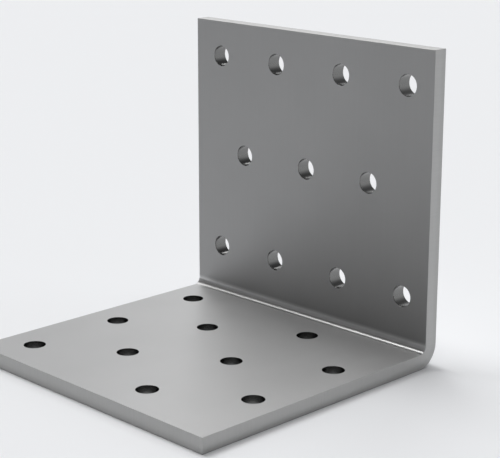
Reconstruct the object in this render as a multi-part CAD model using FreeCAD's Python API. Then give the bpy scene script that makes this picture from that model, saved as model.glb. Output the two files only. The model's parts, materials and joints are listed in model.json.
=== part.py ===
import FreeCAD, Part

import math
import os

from FreeCAD import Vector

# Angle bracket: one steel plate, pierced with round holes and folded once to a right angle.
# Millimetres. X runs along the fold, -Y towards the lying leg's free end, +Z up the upright leg.
# The origin is the middle of the footprint, on the plane that the bracket stands on.

# Plate
PLATE_WIDTH = 83.0
PLATE_THICKNESS = 4.0
LYING_LEG = 80.0  # from the upright's back face to the free end
UPRIGHT_LEG = 80.0  # from the underside to the top edge
INSIDE_BEND_RADIUS = 2.0
EDGE_BREAK = 0.1  # deburring bevel along the cut edges

# Holes, for 5 mm screws and M5 bolts
HOLE_DIAMETER = 5.5
RIM_BREAK = 0.1  # deburring bevel round each mouth

# Columns of holes, the same on both legs, from the left edge to the right
LEFT_MARGIN = 9.5
RIGHT_MARGIN = 8.2
COLUMN_GAPS = (20.7, 22.8, 21.8)

# Rows of the lying leg, from the bend to the free end
LYING_BEND_MARGIN = 9.2
LYING_END_MARGIN = 10.3
LYING_ROW_GAPS = (13.9, 13.3, 14.0, 13.3)

# Rows of the upright leg, from the bend to the top edge
UPRIGHT_BEND_MARGIN = 11.1
UPRIGHT_END_MARGIN = 9.4
UPRIGHT_ROW_GAPS = (27.2, 26.3)

# The upright's middle row is staggered, with margins and gaps of its own
MIDDLE_LEFT_MARGIN = 18.5
MIDDLE_RIGHT_MARGIN = 20.2
MIDDLE_GAPS = (22.8, 21.5)

# Places worked out from the sizes
OUTSIDE_BEND_RADIUS = INSIDE_BEND_RADIUS + PLATE_THICKNESS
LEFT_EDGE = -PLATE_WIDTH / 2
RIGHT_EDGE = PLATE_WIDTH / 2
FREE_END = -LYING_LEG / 2
BACK_FACE = LYING_LEG / 2
INNER_FACE = BACK_FACE - PLATE_THICKNESS
BEND_START = BACK_FACE - OUTSIDE_BEND_RADIUS
BEND_TOP = OUTSIDE_BEND_RADIUS

CUTTER_OVERRUN = 1.0  # how far a piercing tool stands past each face
SMOOTH_ANGLE = 1.0  # degrees, below which two faces meet without an edge


def spread(first, last, gaps):
    """Places from first to last, with the distances between them in proportion to gaps."""
    unit = (last - first) / sum(gaps)
    places = [first]
    for gap in gaps:
        places.append(places[-1] + gap * unit)
    return places


def arc_about_bend(radius):
    """A quarter circle about the bend's axis, from the lying leg's end of it to the upright's."""
    slant = radius * math.sqrt(0.5)
    start = Vector(LEFT_EDGE, BEND_START, BEND_TOP - radius)
    middle = Vector(LEFT_EDGE, BEND_START + slant, BEND_TOP - slant)
    end = Vector(LEFT_EDGE, BEND_START + radius, BEND_TOP)
    return Part.Arc(start, middle, end).toShape()


def bracket_section():
    """The plate's section across the fold: two legs joined by a bend with one centre for both its radii."""
    underside_end = Vector(LEFT_EDGE, FREE_END, 0)
    upper_end = Vector(LEFT_EDGE, FREE_END, PLATE_THICKNESS)
    back_top = Vector(LEFT_EDGE, BACK_FACE, UPRIGHT_LEG)
    inner_top = Vector(LEFT_EDGE, INNER_FACE, UPRIGHT_LEG)
    outer_bend = arc_about_bend(OUTSIDE_BEND_RADIUS)
    inner_bend = arc_about_bend(INSIDE_BEND_RADIUS)
    outline = Part.Wire([
        Part.makeLine(underside_end, outer_bend.Vertexes[0].Point),
        outer_bend,
        Part.makeLine(outer_bend.Vertexes[1].Point, back_top),
        Part.makeLine(back_top, inner_top),
        Part.makeLine(inner_top, inner_bend.Vertexes[1].Point),
        inner_bend,
        Part.makeLine(inner_bend.Vertexes[0].Point, upper_end),
        Part.makeLine(upper_end, underside_end),
    ])
    return Part.Face(outline)


def normal_near(face, point):
    """The direction that a face looks in at the point of it nearest to the given one."""
    u, v = face.Surface.parameter(point)
    return face.normalAt(u, v)


def cut_edges(solid):
    """The edges that two faces meet at with a corner, which leaves out where the bend runs into a leg."""
    corners = []
    for edge in solid.Edges:
        middle = edge.valueAt((edge.FirstParameter + edge.LastParameter) / 2)
        one, other = solid.ancestorsOfType(edge, Part.Face)
        turn = normal_near(one, middle).getAngle(normal_near(other, middle))
        if math.degrees(turn) > SMOOTH_ANGLE:
            corners.append(edge)
    return corners


def folded_plate():
    """The plate with its bend and broken edges, before it is pierced."""
    plate = bracket_section().extrude(Vector(PLATE_WIDTH, 0, 0))
    return plate.makeChamfer(EDGE_BREAK, cut_edges(plate))


def lying_leg_holes():
    """Centres of the lying leg's holes on its underside: neighbouring columns take the rows in turn."""
    columns = spread(LEFT_EDGE + LEFT_MARGIN, RIGHT_EDGE - RIGHT_MARGIN, COLUMN_GAPS)
    rows = spread(BEND_START - LYING_BEND_MARGIN, FREE_END + LYING_END_MARGIN, LYING_ROW_GAPS)
    centres = []
    for column, x in enumerate(columns):
        for y in rows[column % 2::2]:
            centres.append(Vector(x, y, 0))
    return centres


def upright_leg_holes():
    """Centres of the upright leg's holes on its back face: full rows below and above a staggered one."""
    columns = spread(LEFT_EDGE + LEFT_MARGIN, RIGHT_EDGE - RIGHT_MARGIN, COLUMN_GAPS)
    staggered = spread(LEFT_EDGE + MIDDLE_LEFT_MARGIN, RIGHT_EDGE - MIDDLE_RIGHT_MARGIN, MIDDLE_GAPS)
    rows = spread(BEND_TOP + UPRIGHT_BEND_MARGIN, UPRIGHT_LEG - UPRIGHT_END_MARGIN, UPRIGHT_ROW_GAPS)
    centres = []
    for z, places in zip(rows, (columns, staggered, columns)):
        for x in places:
            centres.append(Vector(x, BACK_FACE, z))
    return centres


def piercing_tool(centre, inwards):
    """A round cutter through the plate, which widens at both faces to break the rims of the hole."""
    radius = HOLE_DIAMETER / 2
    flare = radius + RIM_BREAK + CUTTER_OVERRUN
    near = -CUTTER_OVERRUN
    far = PLATE_THICKNESS + CUTTER_OVERRUN
    half_section = Part.makePolygon([
        Vector(0, 0, near),
        Vector(flare, 0, near),
        Vector(radius, 0, RIM_BREAK),
        Vector(radius, 0, PLATE_THICKNESS - RIM_BREAK),
        Vector(flare, 0, far),
        Vector(0, 0, far),
        Vector(0, 0, near),
    ])
    tool = Part.Face(half_section).revolve(Vector(0, 0, 0), Vector(0, 0, 1), 360)
    tool.Placement = FreeCAD.Placement(centre, FreeCAD.Rotation(Vector(0, 0, 1), inwards))
    return tool


def angle_bracket():
    """The finished bracket: the folded plate with both legs pierced."""
    tools = [piercing_tool(centre, Vector(0, 0, 1)) for centre in lying_leg_holes()]
    tools += [piercing_tool(centre, Vector(0, -1, 0)) for centre in upright_leg_holes()]
    return folded_plate().cut(tools).Solids[0]


os.makedirs("parts", exist_ok=True)
bracket = angle_bracket()
bracket.exportStep("parts/angle_bracket.step")
print("angle_bracket: valid", bracket.isValid(), "volume", round(bracket.Volume, 1), "mm3")
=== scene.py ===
import json
import math

import bpy
from mathutils import Matrix, Vector


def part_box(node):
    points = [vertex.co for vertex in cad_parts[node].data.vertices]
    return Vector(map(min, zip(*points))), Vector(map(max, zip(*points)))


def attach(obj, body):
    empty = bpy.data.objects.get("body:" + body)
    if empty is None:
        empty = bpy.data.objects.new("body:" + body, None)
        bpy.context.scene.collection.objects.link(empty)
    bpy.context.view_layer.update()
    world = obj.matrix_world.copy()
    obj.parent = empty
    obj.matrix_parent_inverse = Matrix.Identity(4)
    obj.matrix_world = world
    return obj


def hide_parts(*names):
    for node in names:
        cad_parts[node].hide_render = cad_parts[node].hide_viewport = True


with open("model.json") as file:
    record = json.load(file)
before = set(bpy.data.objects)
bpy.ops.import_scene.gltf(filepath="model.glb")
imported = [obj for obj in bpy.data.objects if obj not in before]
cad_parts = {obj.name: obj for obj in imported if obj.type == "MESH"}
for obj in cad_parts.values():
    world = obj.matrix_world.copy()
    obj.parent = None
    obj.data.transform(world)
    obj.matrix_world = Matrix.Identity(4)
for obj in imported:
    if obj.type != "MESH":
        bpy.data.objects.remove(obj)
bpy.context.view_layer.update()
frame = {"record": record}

bl_info = {
    "name": "Angle Bracket",
    "version": (1, 0, 0),
    "blender": (4, 5, 0),
    "location": "View3D > Sidebar > Bracket",
    "description": "Models a folded and pierced steel angle bracket and the studio it stands in",
    "category": "Object",
}

MM = 0.001

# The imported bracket: every size that it holds is read from it
NODE = "angle_bracket"
BODY = "root"
LOW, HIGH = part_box(NODE)
MOUNTS = {mount["name"]: mount for mount in frame["record"]["mounts"]}
PATTERNS = [mount for mount in frame["record"]["mounts"] if mount["kind"] == "bolt_pattern"]
THICKNESS = MOUNTS["lying_leg_seat"]["pos_m"][2]
HOLE_RADIUS = PATTERNS[0]["dims"]["hole_r_mm"] * MM
WIDTH = HIGH.x - LOW.x

# Axes of the row frame, as places in a vector
X, Y, Z = 0, 1, 2

# Camera, solved from the photograph's straight edges and hole outlines; metres and degrees
PHOTO_WIDTH = 500
FOCAL_LENGTH_PX = 1506.1
SENSOR_WIDTH_MM = 36.0
CAMERA_PLACE = (0.262967, -0.244487, 0.132593)
CAMERA_TURN = (74.784, -0.091, 45.368)

FLAT_PATTERN = "flat_pattern"  # attribute: where each point lay in the plate before it was folded
ROLLED_FACE, CUT_EDGE, HOLE_WALL = 0, 1, 2  # the plate's materials

# Shapes
ARC_SEGMENTS = 3  # facets across each rounded edge
MERGE_DISTANCE = 0.001 * MM
SHARP_ANGLE = 60  # degrees, past which an edge counts as a cut one
SMOOTH_ANGLE = 40  # degrees, up to which faces are shaded as one
FACING = 0.9  # share of a face's normal along a direction, from which it faces that way
SLANTED = 0.3  # share from which a face leans that way, as the rounded edges do

# Marks on the rolled faces
PLATING_PATCH = 14 * MM  # across a patch of thicker or thinner plating
STREAK_WIDTH = 0.6 * MM  # of the streaks that rolling leaves
STREAK_LENGTH = 40 * MM
ZINC_GRAIN = 0.3 * MM  # near 0.05 mm in life, and drawn coarser so that it shows
ZINC_GRAIN_HEIGHT = 0.05 * MM
ROLLING_TURN = 0.25  # of a whole turn, from X to along the legs

# Marks inside the bend: a burnished strip, and a pale band that is a painted highlight
BURNISH_FADE = 1 * MM  # over which the burnished strip ends
PAINTED_BAND_PLACE = 1.9 * MM  # from the bend's middle line towards the upright, to the pale band's own
PAINTED_BAND_CORE = 0.7 * MM  # half the width where the band is palest
PAINTED_BAND_REACH = 2.1 * MM  # half its whole width

# Marks on the cuts
SHEAR_LINE_GAP = 0.5 * MM  # near 0.1 mm in life, and drawn coarser so that they show
SHEAR_LINE_LENGTH = 12 * MM
SHEAR_LINE_HEIGHT = 0.05 * MM
TEAR_LENGTH = 8 * MM  # over which the torn part's limit rises and falls
TEAR_RISE = 1.2 * MM
TORN_BELOW = 1.6 * MM  # from the outer face, before that rise is taken off
SHEARED_ABOVE = 2.6 * MM
PUNCH_LINE_GAP = 0.25 * MM
PUNCH_LINE_LENGTH = 10 * MM

NOISE_RANGE = {"From Min": 0.3, "From Max": 0.7}  # what a noise pattern's values keep to, out of 0 to 1

FLOOR_SIZE = 12  # metres

# Softboxes: the compass angle from +X and the height that each shines from, and its width, in degrees
TOP_SOFTBOX = (45, 85, 34)
UPPER_SOFTBOX = (174, 64, 30)
BACK_SOFTBOX = (135, 48, 30)
LEFT_STRIP = (180, 32, 30)

# Backdrop: the compass angle that it stands at, then how far round and how far up its fading starts
# and ends, in degrees
BACKDROP_TOWARDS = 105
BACKDROP_ROUND = (66, 84)
BACKDROP_UP = (12, 62)


def linear(hex_code):
    """An sRGB hex colour as the linear red, green and blue that a shader takes."""
    channels = [int(hex_code[start:start + 2], 16) / 255 for start in (0, 2, 4)]
    return tuple(c / 12.92 if c <= 0.04045 else ((c + 0.055) / 1.055) ** 2.4 for c in channels)


class BracketShape(bpy.types.PropertyGroup):
    """Sizes of the bracket's bend, edges and rims, and how finely its curves are drawn."""

    inside_bend_radius: bpy.props.FloatProperty(
        name="Inside Bend Radius", description="Radius of the fold's inner face",
        default=2.0 * MM, min=0.1 * MM, unit="LENGTH", subtype="DISTANCE")
    edge_break: bpy.props.FloatProperty(
        name="Edge Break", description="Radius of the deburred outer edges",
        default=0.1 * MM, min=0.01 * MM, unit="LENGTH", subtype="DISTANCE")
    rim_break: bpy.props.FloatProperty(
        name="Rim Break", description="Radius of the deburred rim at each mouth of a hole",
        default=0.1 * MM, min=0.01 * MM, unit="LENGTH", subtype="DISTANCE")
    bend_steps: bpy.props.IntProperty(
        name="Bend Steps", description="Flat facets that make up the quarter turn of the bend",
        default=24, min=4)
    hole_sides: bpy.props.IntProperty(
        name="Hole Sides", description="Flat facets round each hole",
        default=64, min=12)


class SteelFinish(bpy.types.PropertyGroup):
    """Colours and gloss of the zinc-plated steel."""

    face_colour: bpy.props.FloatVectorProperty(
        name="Face Colour", description="Reflected colour of the rolled faces",
        default=linear("ADADAD"), min=0.0, max=1.0, subtype="COLOR")
    face_roughness: bpy.props.FloatProperty(
        name="Face Roughness", description="Gloss of the rolled faces, from 0 for a mirror",
        default=0.42, min=0.0, max=1.0, subtype="FACTOR")
    face_grain: bpy.props.FloatProperty(
        name="Face Grain", description="How far rolling drew the gloss of the faces out along the legs",
        default=0.75, min=0.0, max=1.0, subtype="FACTOR")
    bend_roughness: bpy.props.FloatProperty(
        name="Bend Roughness", description="Gloss that the press's punch gave the inside of the bend",
        default=0.28, min=0.0, max=1.0, subtype="FACTOR")
    # The bend's pale band is a painted highlight: its brightness and its even scatter are painted light
    painted_highlight_brightness: bpy.props.FloatProperty(
        name="Bend Brightness", description="How many times brighter than the faces the squeezed zinc is",
        default=2.1, min=0.0)
    bend_scatter: bpy.props.FloatProperty(
        name="Bend Scatter", description="Share of the light that the squeezed zinc scatters evenly",
        default=0.55, min=0.0, max=1.0, subtype="FACTOR")
    edge_colour: bpy.props.FloatVectorProperty(
        name="Edge Colour", description="Reflected colour of the sheared edges",
        default=linear("B6B6B5"), min=0.0, max=1.0, subtype="COLOR")
    edge_roughness: bpy.props.FloatProperty(
        name="Edge Roughness", description="Gloss of the sheared edges, from 0 for a mirror",
        default=0.45, min=0.0, max=1.0, subtype="FACTOR")
    # The holes' walls are darker than the faces, partly for their bare punched steel and partly as painted
    # shade inside the holes
    wall_colour_with_painted_shade: bpy.props.FloatVectorProperty(
        name="Hole Wall Colour", description="Reflected colour of the punched holes' walls",
        default=linear("7A7A79"), min=0.0, max=1.0, subtype="COLOR")
    wall_roughness: bpy.props.FloatProperty(
        name="Hole Wall Roughness", description="Gloss of the punched holes' walls, from 0 for a mirror",
        default=0.2, min=0.0, max=1.0, subtype="FACTOR")
    scatter: bpy.props.FloatProperty(
        name="Scatter", description="Share of the light that the plating's dull skin scatters evenly",
        default=0.22, min=0.0, max=1.0, subtype="FACTOR")


class StudioLook(bpy.types.PropertyGroup):
    """The floor, and how bright the backdrop, the room and each light are."""

    floor_colour: bpy.props.FloatVectorProperty(
        name="Floor Colour", description="Colour of the plain floor",
        default=linear("EDEEF0"), min=0.0, max=1.0, subtype="COLOR")
    backdrop_level: bpy.props.FloatProperty(
        name="Backdrop Level", description="Brightness of the pale backdrop behind the bracket",
        default=0.9, min=0.0)
    room_level: bpy.props.FloatProperty(
        name="Room Level", description="Brightness of the dark room round the rest of the bracket",
        default=0.02, min=0.0)
    top_level: bpy.props.FloatProperty(
        name="Top Softbox Level", description="Strength of the light overhead",
        default=0.87, min=0.0)
    upper_level: bpy.props.FloatProperty(
        name="Upper Softbox Level", description="Strength of the light high up at the left",
        default=1.46, min=0.0)
    back_level: bpy.props.FloatProperty(
        name="Back Softbox Level", description="Strength of the light at the back left",
        default=0.64, min=0.0)
    left_level: bpy.props.FloatProperty(
        name="Left Strip Level", description="Strength of the light low at the left",
        default=0.25, min=0.0)


def set_alone(piece):
    """Makes a piece the only one that the next operator acts on."""
    bpy.ops.object.select_all(action="DESELECT")
    piece.select_set(True)
    bpy.context.view_layer.objects.active = piece


def select_faces(piece, wanted):
    """Selects just the faces of a piece that the given test picks."""
    bpy.context.tool_settings.mesh_select_mode = (False, False, True)
    for part in (piece.data.vertices, piece.data.edges):
        part.foreach_set("select", [False] * len(part))
    for face in piece.data.polygons:
        face.select = bool(wanted(face))


def bend_layout(shape):
    """The bend's radius outside and halfway through the plate, and where it starts on the lying leg."""
    outside_radius = shape.inside_bend_radius + THICKNESS
    middle_radius = shape.inside_bend_radius + THICKNESS / 2
    return outside_radius, middle_radius, HIGH.y - outside_radius


def fold_plate(shape):
    """The folded plate: a flat lying leg, with its end spun round the bend and pulled up the upright."""
    outside_radius, _, bend_start = bend_layout(shape)
    flat = bend_start - LOW.y
    bpy.ops.mesh.primitive_cube_add(
        size=1, location=(0, LOW.y + flat / 2, THICKNESS / 2), scale=(WIDTH, flat, THICKNESS))
    plate = bpy.context.object
    set_alone(plate)
    bpy.ops.object.transform_apply(location=True, rotation=True, scale=True)

    select_faces(plate, lambda face: face.normal.y > FACING)
    bpy.ops.object.mode_set(mode="EDIT")
    # the operator turns against its axis, so -X lifts the end face round to the upright
    bpy.ops.mesh.spin(
        steps=shape.bend_steps, angle=math.pi / 2,
        center=(0, bend_start, outside_radius), axis=(-1, 0, 0))
    bpy.ops.mesh.extrude_region_move(
        TRANSFORM_OT_translate={"value": (0, 0, HIGH.z - outside_radius)})
    bpy.ops.mesh.select_all(action="SELECT")
    bpy.ops.mesh.remove_doubles(threshold=MERGE_DISTANCE)
    bpy.ops.mesh.normals_make_consistent(inside=False)
    bpy.ops.object.mode_set(mode="OBJECT")
    return plate


def break_edges(plate, shape):
    """Rounds the plate's cut edges, which are its only sharp ones before it is pierced."""
    bpy.context.tool_settings.mesh_select_mode = (False, True, False)
    bpy.ops.object.mode_set(mode="EDIT")
    bpy.ops.mesh.select_all(action="DESELECT")
    bpy.ops.mesh.edges_select_sharp(sharpness=math.radians(SHARP_ANGLE))
    bpy.ops.mesh.bevel(offset=shape.edge_break, segments=ARC_SEGMENTS, profile=0.5, affect="EDGES")
    bpy.ops.object.mode_set(mode="OBJECT")


def hole_places(axis):
    """Where the holes that run along an axis cross the middle of the plate, from the bolt patterns."""
    places = set()
    for pattern in PATTERNS:
        if not pattern["axis"][axis]:
            continue
        first = pattern["dims"].get("spacing_x_mm", 0) * MM / 2
        second = pattern["dims"].get("spacing_y_mm", 0) * MM / 2
        for side in (-1, 1):
            for end in (-1, 1):
                place = Vector(pattern["pos_m"])
                place[X] += side * first
                place[Z if axis == Y else Y] += end * second
                place[axis] -= pattern["axis"][axis] * THICKNESS / 2
                places.add(tuple(round(number, 6) for number in place))
    return sorted(places)


def piercing_tool(shape):
    """A round cutter along Z, whose ends widen in an arc that rounds the rims of the hole."""
    rim = shape.rim_break
    bpy.ops.mesh.primitive_cylinder_add(
        vertices=shape.hole_sides, radius=HOLE_RADIUS, depth=THICKNESS - 2 * rim)
    tool = bpy.context.object
    set_alone(tool)
    # steps of the arc, then a straight flare of three radii that carries the cutter clear of the plate
    turns = (0, math.pi / 6, math.pi / 3)
    flare = [(rim * (1 - math.cos(turn)), rim * math.sin(turn)) for turn in turns]
    out, up = flare[-1]
    flare.append((out + 3 * rim * math.sin(turns[-1]), up + 3 * rim * math.cos(turns[-1])))
    for side in (1, -1):
        select_faces(tool, lambda face: face.normal.z * side > FACING)
        bpy.ops.object.mode_set(mode="EDIT")
        for (out, up), (next_out, next_up) in zip(flare, flare[1:]):
            wider = (HOLE_RADIUS + next_out) / (HOLE_RADIUS + out)
            bpy.ops.mesh.extrude_region_move(
                TRANSFORM_OT_translate={"value": (0, 0, side * (next_up - up))})
            bpy.ops.transform.resize(value=(wider, wider, 1), center_override=(0, 0, 0))
        bpy.ops.object.mode_set(mode="OBJECT")
    return tool


def pierce(plate, shape):
    """Cuts the holes through both legs with copies of one tool, which leaves its finish on the walls."""
    tool = piercing_tool(shape)
    for material in plate.data.materials:
        tool.data.materials.append(material)
    for face in tool.data.polygons:
        face.material_index = HOLE_WALL
    placements = [Matrix.Translation(place) for place in hole_places(Z)]
    placements += [
        Matrix.Translation(place) @ Matrix.Rotation(math.pi / 2, 4, "X") for place in hole_places(Y)]
    bpy.ops.object.select_all(action="DESELECT")
    for placement in placements:
        copy = bpy.data.objects.new("piercing_tool", tool.data.copy())
        copy.data.transform(placement)
        bpy.context.scene.collection.objects.link(copy)
        copy.select_set(True)
        bpy.context.view_layer.objects.active = copy
    bpy.ops.object.join()
    tools = bpy.context.object

    set_alone(plate)
    holes = plate.modifiers.new("holes", "BOOLEAN")
    holes.operation = "DIFFERENCE"
    holes.solver = "EXACT"
    holes.material_mode = "INDEX"
    holes.object = tools
    bpy.ops.object.modifier_apply(modifier=holes.name)
    for cutter in (tools, tool):
        bpy.data.objects.remove(cutter)


def record_flat_pattern(plate, shape):
    """Stores each point's place before the fold: across, along the plate, and in from its outer face."""
    outside_radius, middle_radius, bend_start = bend_layout(shape)
    flat = []
    for vertex in plate.data.vertices:
        x, y, z = vertex.co
        if y <= bend_start:
            along, depth = y, z
        elif z >= outside_radius:
            along = bend_start + middle_radius * math.pi / 2 + z - outside_radius
            depth = HIGH.y - y
        else:
            turn = math.atan2(y - bend_start, outside_radius - z)
            along = bend_start + middle_radius * turn
            depth = outside_radius - math.hypot(y - bend_start, outside_radius - z)
        flat += (x, along, depth)
    attribute = plate.data.attributes.new(FLAT_PATTERN, "FLOAT_VECTOR", "POINT")
    attribute.data.foreach_set("vector", flat)


def smooth(plate):
    """Shades the bend, rims and edge rounds smoothly while the flats stay flat."""
    set_alone(plate)
    bpy.ops.object.shade_smooth_by_angle(angle=math.radians(SMOOTH_ANGLE))
    normals = plate.modifiers.new("normals", "WEIGHTED_NORMAL")
    normals.weight = 100
    normals.keep_sharp = True
    bpy.ops.object.modifier_apply(modifier=normals.name)


def add_node(tree, kind, settings=None, inputs=None):
    """Adds a node, sets its properties, and gives its inputs a value or a link."""
    node = tree.nodes.new(kind)
    for name, value in (settings or {}).items():
        setattr(node, name, value)
    for name, value in (inputs or {}).items():
        if isinstance(value, bpy.types.NodeSocket):
            tree.links.new(value, node.inputs[name])
        else:
            node.inputs[name].default_value = value
    return node


def new_material(name):
    """An empty node material and its tree."""
    material = bpy.data.materials.new(name)
    material.use_nodes = True
    material.node_tree.nodes.clear()
    return material, material.node_tree


def zinc_plated_rolled_steel(finish, shape):
    """Cold-rolled steel under thin passivated zinc: satin grey, with its gloss drawn out along the legs.

    Inside the bend it is glossier, where the press's punch burnished it. Towards the upright it has a
    pale, dull band that is a painted highlight.
    """
    material, tree = new_material("zinc_plated_rolled_steel")
    place = add_node(tree, "ShaderNodeAttribute", {"attribute_name": FLAT_PATTERN}).outputs["Vector"]
    parts = add_node(tree, "ShaderNodeSeparateXYZ", {}, {"Vector": place}).outputs

    # Plating is a shade uneven in patches
    patches = add_node(tree, "ShaderNodeTexNoise", {}, {
        "Vector": place, "Scale": 1 / PLATING_PATCH, "Detail": 2.0, "Roughness": 0.5}).outputs["Fac"]
    # Rolling leaves long thin streaks along the legs
    stretched = add_node(tree, "ShaderNodeMapping", {}, {
        "Vector": place,
        "Scale": (1 / STREAK_WIDTH, 1 / STREAK_LENGTH, 1 / STREAK_LENGTH)}).outputs["Vector"]
    streaks = add_node(tree, "ShaderNodeTexNoise", {}, {
        "Vector": stretched, "Scale": 1.0, "Detail": 3.0, "Roughness": 0.6}).outputs["Fac"]
    # The zinc has a fine grain
    grain = add_node(tree, "ShaderNodeTexNoise", {}, {
        "Vector": place, "Scale": 1 / ZINC_GRAIN, "Detail": 2.0, "Roughness": 0.6}).outputs["Fac"]
    patch_shade = add_node(tree, "ShaderNodeMapRange", {}, {
        "Value": patches, "To Min": 0.985, "To Max": 1.015, **NOISE_RANGE}).outputs["Result"]
    streak_shade = add_node(tree, "ShaderNodeMapRange", {}, {
        "Value": streaks, "To Min": 0.985, "To Max": 1.015, **NOISE_RANGE}).outputs["Result"]
    both = add_node(tree, "ShaderNodeMath", {"operation": "MULTIPLY"}, {
        0: patch_shade, 1: streak_shade}).outputs["Value"]

    # The press's punch burnished the inner face of the bend, up to where the legs start
    _, middle_radius, bend_start = bend_layout(shape)
    half_bend = middle_radius * math.pi / 4
    offset = add_node(tree, "ShaderNodeMath", {"operation": "SUBTRACT"}, {
        0: parts["Y"], 1: bend_start + half_bend}).outputs[0]
    distance = add_node(tree, "ShaderNodeMath", {"operation": "ABSOLUTE"}, {0: offset}).outputs[0]
    burnished = add_node(tree, "ShaderNodeMapRange", {"interpolation_type": "SMOOTHSTEP"}, {
        "Value": distance, "From Min": half_bend, "From Max": half_bend - BURNISH_FADE}).outputs["Result"]
    inside = add_node(tree, "ShaderNodeMath", {"operation": "GREATER_THAN"}, {
        0: parts["Z"], 1: THICKNESS / 2}).outputs[0]
    gloss = add_node(tree, "ShaderNodeMath", {"operation": "MULTIPLY"}, {
        0: burnished, 1: inside}).outputs[0]
    # A painted highlight: a pale, dull band laid across the upper part of it
    band_offset = add_node(tree, "ShaderNodeMath", {"operation": "SUBTRACT"}, {
        0: offset, 1: PAINTED_BAND_PLACE}).outputs[0]
    band_distance = add_node(tree, "ShaderNodeMath", {"operation": "ABSOLUTE"}, {
        0: band_offset}).outputs[0]
    highlight_painted = add_node(tree, "ShaderNodeMapRange", {"interpolation_type": "SMOOTHSTEP"}, {
        "Value": band_distance, "From Min": PAINTED_BAND_REACH, "From Max": PAINTED_BAND_CORE}).outputs["Result"]
    pale = add_node(tree, "ShaderNodeMath", {"operation": "MULTIPLY"}, {0: highlight_painted, 1: inside}).outputs[0]

    # Painted highlight: the colour is brightened over the band, and the band scatters more of its light
    # evenly
    paler = add_node(tree, "ShaderNodeMapRange", {}, {
        "Value": pale, "To Min": 1.0, "To Max": finish.painted_highlight_brightness}).outputs["Result"]
    brightness = add_node(tree, "ShaderNodeMath", {"operation": "MULTIPLY"}, {
        0: both, 1: paler}).outputs["Value"]
    colour = add_node(tree, "ShaderNodeVectorMath", {"operation": "SCALE"}, {
        0: finish.face_colour, "Scale": brightness}).outputs["Vector"]
    metallic = add_node(tree, "ShaderNodeMapRange", {}, {
        "Value": pale, "To Min": 1 - finish.scatter, "To Max": 1 - finish.bend_scatter}).outputs["Result"]
    dull = add_node(tree, "ShaderNodeMapRange", {}, {
        "Value": streaks, "To Min": finish.face_roughness - 0.02, "To Max": finish.face_roughness + 0.02,
        **NOISE_RANGE}).outputs["Result"]
    roughness = add_node(tree, "ShaderNodeMix", {"data_type": "FLOAT"}, {
        "Factor": gloss, "A": dull, "B": finish.bend_roughness}).outputs["Result"]
    # Rolling drew the gloss out along the legs, and the punch took that off the bend
    grained = add_node(tree, "ShaderNodeMapRange", {}, {
        "Value": gloss, "To Min": finish.face_grain, "To Max": 0.0}).outputs["Result"]
    across = add_node(tree, "ShaderNodeCombineXYZ", {}, {"X": 1.0}).outputs["Vector"]
    bump = add_node(tree, "ShaderNodeBump", {}, {
        "Height": grain, "Strength": 0.05, "Distance": ZINC_GRAIN_HEIGHT}).outputs["Normal"]

    shader = add_node(tree, "ShaderNodeBsdfPrincipled", {}, {
        "Base Color": colour, "Metallic": metallic, "Roughness": roughness, "Normal": bump,
        "Anisotropic": grained, "Anisotropic Rotation": ROLLING_TURN, "Tangent": across})
    add_node(tree, "ShaderNodeOutputMaterial", {}, {"Surface": shader.outputs["BSDF"]})
    return material


def drag_lines(tree, place, gap, length):
    """The lines that a blade or a punch drags through the plate, as noise drawn out along them."""
    stretched = add_node(tree, "ShaderNodeMapping", {}, {
        "Vector": place, "Scale": (1 / gap, 1 / gap, 1 / length)}).outputs["Vector"]
    return add_node(tree, "ShaderNodeTexNoise", {}, {
        "Vector": stretched, "Scale": 1.0, "Detail": 2.0, "Roughness": 0.5}).outputs["Fac"]


def zinc_plated_cut_edge(finish):
    """The plate's sheared outline under the same zinc: paler and duller, with fine lines through it."""
    material, tree = new_material("zinc_plated_cut_edge")
    place = add_node(tree, "ShaderNodeAttribute", {"attribute_name": FLAT_PATTERN}).outputs["Vector"]
    lines = drag_lines(tree, place, SHEAR_LINE_GAP, SHEAR_LINE_LENGTH)
    # The torn part of the cut, next to the outer face, is darker, and its limit wanders
    wander = add_node(tree, "ShaderNodeTexNoise", {}, {
        "Vector": place, "Scale": 1 / TEAR_LENGTH, "Detail": 3.0, "Roughness": 0.6}).outputs["Fac"]
    depth = add_node(tree, "ShaderNodeSeparateXYZ", {}, {"Vector": place}).outputs["Z"]
    height = add_node(tree, "ShaderNodeMath", {"operation": "MULTIPLY_ADD"}, {
        0: wander, 1: TEAR_RISE, 2: depth}).outputs[0]
    sheared = add_node(tree, "ShaderNodeMapRange", {"interpolation_type": "SMOOTHSTEP"}, {
        "Value": height, "From Min": TORN_BELOW, "From Max": SHEARED_ABOVE,
        "To Min": 0.94, "To Max": 1.0}).outputs["Result"]
    line_shade = add_node(tree, "ShaderNodeMapRange", {}, {
        "Value": lines, "To Min": 0.98, "To Max": 1.02, **NOISE_RANGE}).outputs["Result"]
    both = add_node(tree, "ShaderNodeMath", {"operation": "MULTIPLY"}, {
        0: sheared, 1: line_shade}).outputs["Value"]
    colour = add_node(tree, "ShaderNodeVectorMath", {"operation": "SCALE"}, {
        0: finish.edge_colour, "Scale": both}).outputs["Vector"]
    bump = add_node(tree, "ShaderNodeBump", {}, {
        "Height": lines, "Strength": 0.1, "Distance": SHEAR_LINE_HEIGHT}).outputs["Normal"]

    shader = add_node(tree, "ShaderNodeBsdfPrincipled", {}, {
        "Base Color": colour, "Metallic": 1 - finish.scatter, "Roughness": finish.edge_roughness,
        "Normal": bump})
    add_node(tree, "ShaderNodeOutputMaterial", {}, {"Surface": shader.outputs["BSDF"]})
    return material


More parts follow.
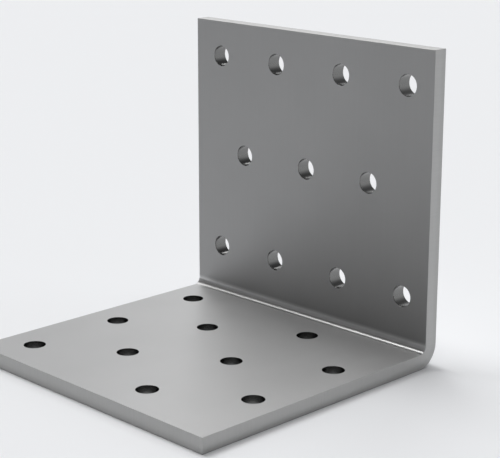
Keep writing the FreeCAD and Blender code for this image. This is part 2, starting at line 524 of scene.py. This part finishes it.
def burnished_hole_wall(finish):
    """Steel that the punch rubbed: glossier than the faces, with fine lines along the hole, and darker,
    partly as bare punched steel and partly as painted shade inside the holes.
    """
    material, tree = new_material("burnished_hole_wall")
    place = add_node(tree, "ShaderNodeAttribute", {"attribute_name": FLAT_PATTERN}).outputs["Vector"]
    lines = drag_lines(tree, place, PUNCH_LINE_GAP, PUNCH_LINE_LENGTH)
    line_shade = add_node(tree, "ShaderNodeMapRange", {}, {
        "Value": lines, "To Min": 0.95, "To Max": 1.05, **NOISE_RANGE}).outputs["Result"]
    colour = add_node(tree, "ShaderNodeVectorMath", {"operation": "SCALE"}, {
        0: finish.wall_colour_with_painted_shade, "Scale": line_shade}).outputs["Vector"]
    shader = add_node(tree, "ShaderNodeBsdfPrincipled", {}, {
        "Base Color": colour, "Metallic": 1.0, "Roughness": finish.wall_roughness})
    add_node(tree, "ShaderNodeOutputMaterial", {}, {"Surface": shader.outputs["BSDF"]})
    return material


def is_cut(face):
    """Whether a face was made by the shears: it looks sideways, or lies at the free end of a leg."""
    sideways = abs(face.normal.x) > SLANTED
    lying_end = face.normal.y < -SLANTED and face.center.y < LOW.y + THICKNESS / 4
    upright_end = face.normal.z > SLANTED and face.center.z > HIGH.z - THICKNESS / 4
    return sideways or lying_end or upright_end


def paint(plate, finish, shape):
    """Gives the rolled faces and the cut faces their own steel, and brings the holes' for the punch."""
    plate.data.materials.clear()
    plate.data.materials.append(zinc_plated_rolled_steel(finish, shape))
    plate.data.materials.append(zinc_plated_cut_edge(finish))
    plate.data.materials.append(burnished_hole_wall(finish))
    for face in plate.data.polygons:
        face.material_index = CUT_EDGE if is_cut(face) else ROLLED_FACE


class BRACKET_OT_model_bracket(bpy.types.Operator):
    """Model the folded plate, pierce its holes and give it its finish"""

    bl_idname = "bracket.model_bracket"
    bl_label = "Model Bracket"

    def execute(self, context):
        shape = context.scene.bracket_shape
        plate = fold_plate(shape)
        break_edges(plate, shape)
        paint(plate, context.scene.steel_finish, shape)
        pierce(plate, shape)
        record_flat_pattern(plate, shape)
        smooth(plate)
        plate.name = "folded_plate"
        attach(plate, BODY)
        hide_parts(NODE)
        return {"FINISHED"}


def lay_floor(look):
    """A plain pale floor that reaches past every edge of the picture."""
    bpy.ops.mesh.primitive_plane_add(size=FLOOR_SIZE)
    floor = bpy.context.object
    floor.name = "floor"
    material, tree = new_material("matt_paper_floor")
    shader = add_node(tree, "ShaderNodeBsdfDiffuse", {}, {"Color": (*look.floor_colour, 1)})
    add_node(tree, "ShaderNodeOutputMaterial", {}, {"Surface": shader.outputs["BSDF"]})
    floor.data.materials.append(material)


def add_softbox(name, placing, level):
    """A broad light from one direction, as a softbox far enough off to light the floor evenly."""
    compass, height, width = [math.radians(angle) for angle in placing]
    bpy.ops.object.light_add(type="SUN")
    light = bpy.context.object
    light.name = name
    across = math.cos(height)
    towards = Vector((math.cos(compass) * across, math.sin(compass) * across, math.sin(height)))
    light.rotation_euler = towards.to_track_quat("Z", "Y").to_euler()
    light.data.angle = width
    light.data.energy = level


def hang_backdrop(look):
    """A pale backdrop behind the bracket, which fades upwards and sideways into a dark room."""
    world = bpy.data.worlds.new("studio")
    world.use_nodes = True
    tree = world.node_tree
    background = tree.nodes["Background"]
    background.inputs["Color"].default_value = (*look.floor_colour, 1)
    towards = add_node(tree, "ShaderNodeTexCoord").outputs["Generated"]
    compass = math.radians(BACKDROP_TOWARDS)
    behind = add_node(tree, "ShaderNodeVectorMath", {"operation": "DOT_PRODUCT"}, {
        0: towards, 1: (math.cos(compass), math.sin(compass), 0)}).outputs["Value"]
    full_round, faded_round = [math.cos(math.radians(angle)) for angle in BACKDROP_ROUND]
    round_share = add_node(tree, "ShaderNodeMapRange", {"interpolation_type": "SMOOTHSTEP"}, {
        "Value": behind, "From Min": faded_round, "From Max": full_round}).outputs["Result"]
    height = add_node(tree, "ShaderNodeSeparateXYZ", {}, {"Vector": towards}).outputs["Z"]
    full_up, faded_up = [math.sin(math.radians(angle)) for angle in BACKDROP_UP]
    up_share = add_node(tree, "ShaderNodeMapRange", {"interpolation_type": "SMOOTHSTEP"}, {
        "Value": height, "From Min": faded_up, "From Max": full_up}).outputs["Result"]
    share = add_node(tree, "ShaderNodeMath", {"operation": "MULTIPLY"}, {
        0: round_share, 1: up_share}).outputs[0]
    lit = add_node(tree, "ShaderNodeMapRange", {}, {
        "Value": share, "To Min": look.room_level, "To Max": look.backdrop_level}).outputs["Result"]
    # The camera sees it all round, as pale as the floor, and the steel mirrors it where it stands
    ray = add_node(tree, "ShaderNodeLightPath").outputs
    mirrored = add_node(tree, "ShaderNodeMath", {"operation": "MULTIPLY"}, {
        0: ray["Is Glossy Ray"], 1: share}).outputs[0]
    seen = add_node(tree, "ShaderNodeMath", {"operation": "MAXIMUM"}, {
        0: ray["Is Camera Ray"], 1: ray["Is Transmission Ray"]}).outputs[0]
    shown = add_node(tree, "ShaderNodeMath", {"operation": "MAXIMUM"}, {
        0: mirrored, 1: seen}).outputs[0]
    level = add_node(tree, "ShaderNodeMath", {"operation": "MAXIMUM"}, {0: lit, 1: shown}).outputs[0]
    tree.links.new(level, background.inputs["Strength"])
    bpy.context.scene.world = world


def place_camera():
    """The camera, where the photograph was taken from."""
    bpy.ops.object.camera_add(
        location=CAMERA_PLACE, rotation=[math.radians(angle) for angle in CAMERA_TURN])
    camera = bpy.context.object
    camera.data.sensor_width = SENSOR_WIDTH_MM
    camera.data.lens = FOCAL_LENGTH_PX / PHOTO_WIDTH * SENSOR_WIDTH_MM
    bpy.context.scene.camera = camera


class BRACKET_OT_set_stage(bpy.types.Operator):
    """Lay the floor, hang the lights and place the camera"""

    bl_idname = "bracket.set_stage"
    bl_label = "Set Stage"

    def execute(self, context):
        look = context.scene.studio_look
        lay_floor(look)
        hang_backdrop(look)
        add_softbox("top_softbox", TOP_SOFTBOX, look.top_level)
        add_softbox("upper_softbox", UPPER_SOFTBOX, look.upper_level)
        add_softbox("back_softbox", BACK_SOFTBOX, look.back_level)
        add_softbox("left_strip", LEFT_STRIP, look.left_level)
        place_camera()
        context.scene.view_settings.view_transform = "Standard"
        return {"FINISHED"}


class BRACKET_PT_panel(bpy.types.Panel):
    """Lists the bracket's sizes, finish and stage, and builds them"""

    bl_label = "Angle Bracket"
    bl_idname = "BRACKET_PT_panel"
    bl_space_type = "VIEW_3D"
    bl_region_type = "UI"
    bl_category = "Bracket"

    def draw(self, context):
        scene = context.scene
        for group in (scene.bracket_shape, scene.steel_finish, scene.studio_look):
            box = self.layout.box()
            for name in group.bl_rna.properties.keys():
                if name not in ("rna_type", "name"):
                    box.prop(group, name)
        self.layout.operator(BRACKET_OT_model_bracket.bl_idname)
        self.layout.operator(BRACKET_OT_set_stage.bl_idname)


CLASSES = (
    BracketShape, SteelFinish, StudioLook,
    BRACKET_OT_model_bracket, BRACKET_OT_set_stage, BRACKET_PT_panel,
)


def register():
    for cls in CLASSES:
        bpy.utils.register_class(cls)
    bpy.types.Scene.bracket_shape = bpy.props.PointerProperty(type=BracketShape)
    bpy.types.Scene.steel_finish = bpy.props.PointerProperty(type=SteelFinish)
    bpy.types.Scene.studio_look = bpy.props.PointerProperty(type=StudioLook)


def unregister():
    del bpy.types.Scene.studio_look
    del bpy.types.Scene.steel_finish
    del bpy.types.Scene.bracket_shape
    for cls in reversed(CLASSES):
        bpy.utils.unregister_class(cls)


def main():
    register()
    bpy.ops.bracket.model_bracket()
    bpy.ops.bracket.set_stage()


if __name__ == "__main__":
    main()
